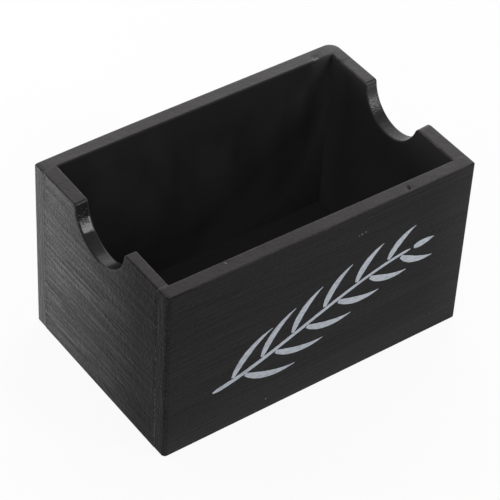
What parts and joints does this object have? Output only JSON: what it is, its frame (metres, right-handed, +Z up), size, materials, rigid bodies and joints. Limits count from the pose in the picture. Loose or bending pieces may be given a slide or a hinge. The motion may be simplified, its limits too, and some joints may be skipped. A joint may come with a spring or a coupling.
{
  "type": "sugar packet holder",
  "caption": "Open painted wooden table box with a half-round finger notch in each end, for paper sugar packets stood on edge.",
  "frame": {"origin": "on the table, under the middle of the box", "axes": "+X along the box to the right, +Y from the front to the back, +Z up to the rim"},
  "size_m": [0.13, 0.083, 0.075],
  "materials": {
    "black_painted_wood": "satin black paint brushed over sanded wood, with the grain showing through",
    "pin_steel": "bright drawn wire",
    "pale_paint": "pale blue grey paint, brushed on in thin strokes: it has no node, and is the slot of the sprig that the scene paints on the front"
  },
  "bodies": {
    "root": {"front_panel": "black_painted_wood", "back_panel": "black_painted_wood", "left_end_panel": "black_painted_wood", "right_end_panel": "black_painted_wood", "floor_panel": "black_painted_wood", "corner_pins": "pin_steel", "floor_pins": "pin_steel"}
  },
  "joints": []
}
